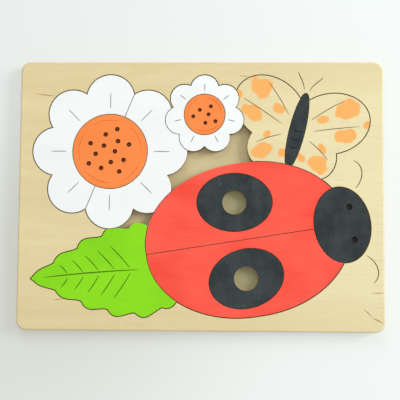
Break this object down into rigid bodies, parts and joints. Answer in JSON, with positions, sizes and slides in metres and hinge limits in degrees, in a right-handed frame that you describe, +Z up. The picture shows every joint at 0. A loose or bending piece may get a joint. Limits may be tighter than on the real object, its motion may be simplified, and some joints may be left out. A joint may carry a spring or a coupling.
{
  "type": "wooden tray puzzle",
  "caption": "Flat wooden tray puzzle: painted loose pieces of a garden picture nest in a plywood frame on a base, and lift straight out.",
  "frame": {"origin": "middle of the tray's underside", "axes": "+X along the tray's long side, to the right of the picture; +Y towards the picture's top; +Z up out of the tray"},
  "size_m": [0.3, 0.222, 0.01],
  "materials": {
    "plywood": "bare birch plywood, sanded, matt clear lacquer",
    "pale_wood": "bare plywood with soft sprayed orange spots",
    "red_paint": "satin red paint on plywood",
    "black_paint": "satin black paint on plywood",
    "white_paint": "satin white paint on plywood",
    "orange_paint": "satin orange paint on plywood",
    "green_paint": "satin green paint on plywood"
  },
  "bodies": {
    "tray": {"tray_base": "plywood", "tray_frame": "plywood"},
    "spot_upper": {"wing_spot_upper": "black_paint"},
    "spot_lower": {"wing_spot_lower": "black_paint"},
    "head": {"ladybird_head": "black_paint"},
    "case_upper": {"wing_case_upper": "red_paint"},
    "case_lower": {"wing_case_lower": "red_paint"},
    "butterfly_body": {"butterfly_body": "black_paint"},
    "butterfly_wing_left": {"butterfly_wing_left": "pale_wood"},
    "butterfly_wing_right": {"butterfly_wing_right": "pale_wood"},
    "disc": {"daisy_disc": "orange_paint"},
    "petals_left": {"daisy_petals_left": "white_paint"},
    "petals_right": {"daisy_petals_right": "white_paint"},
    "small_disc": {"small_daisy_disc": "orange_paint"},
    "small_petals": {"small_daisy_petals": "white_paint"},
    "leaf": {"leaf": "green_paint"}
  },
  "joints": [
    {"name": "spot_upper_lift", "type": "slide", "parent": "tray", "child": "spot_upper", "axis": [0, 0, 1], "range_m": [0, 0.03]},
    {"name": "spot_lower_lift", "type": "slide", "parent": "tray", "child": "spot_lower", "axis": [0, 0, 1], "range_m": [0, 0.03]},
    {"name": "head_lift", "type": "slide", "parent": "tray", "child": "head", "axis": [0, 0, 1], "range_m": [0, 0.03]},
    {"name": "case_upper_lift", "type": "slide", "parent": "tray", "child": "case_upper", "axis": [0, 0, 1], "range_m": [0, 0.03]},
    {"name": "case_lower_lift", "type": "slide", "parent": "tray", "child": "case_lower", "axis": [0, 0, 1], "range_m": [0, 0.03]},
    {"name": "butterfly_body_lift", "type": "slide", "parent": "tray", "child": "butterfly_body", "axis": [0, 0, 1], "range_m": [0, 0.03]},
    {"name": "butterfly_wing_left_lift", "type": "slide", "parent": "tray", "child": "butterfly_wing_left", "axis": [0, 0, 1], "range_m": [0, 0.03]},
    {"name": "butterfly_wing_right_lift", "type": "slide", "parent": "tray", "child": "butterfly_wing_right", "axis": [0, 0, 1], "range_m": [0, 0.03]},
    {"name": "disc_lift", "type": "slide", "parent": "tray", "child": "disc", "axis": [0, 0, 1], "range_m": [0, 0.03]},
    {"name": "petals_left_lift", "type": "slide", "parent": "tray", "child": "petals_left", "axis": [0, 0, 1], "range_m": [0, 0.03]},
    {"name": "petals_right_lift", "type": "slide", "parent": "tray", "child": "petals_right", "axis": [0, 0, 1], "range_m": [0, 0.03]},
    {"name": "small_disc_lift", "type": "slide", "parent": "tray", "child": "small_disc", "axis": [0, 0, 1], "range_m": [0, 0.03]},
    {"name": "small_petals_lift", "type": "slide", "parent": "tray", "child": "small_petals", "axis": [0, 0, 1], "range_m": [0, 0.03]},
    {"name": "leaf_lift", "type": "slide", "parent": "tray", "child": "leaf", "axis": [0, 0, 1], "range_m": [0, 0.03]}
  ]
}
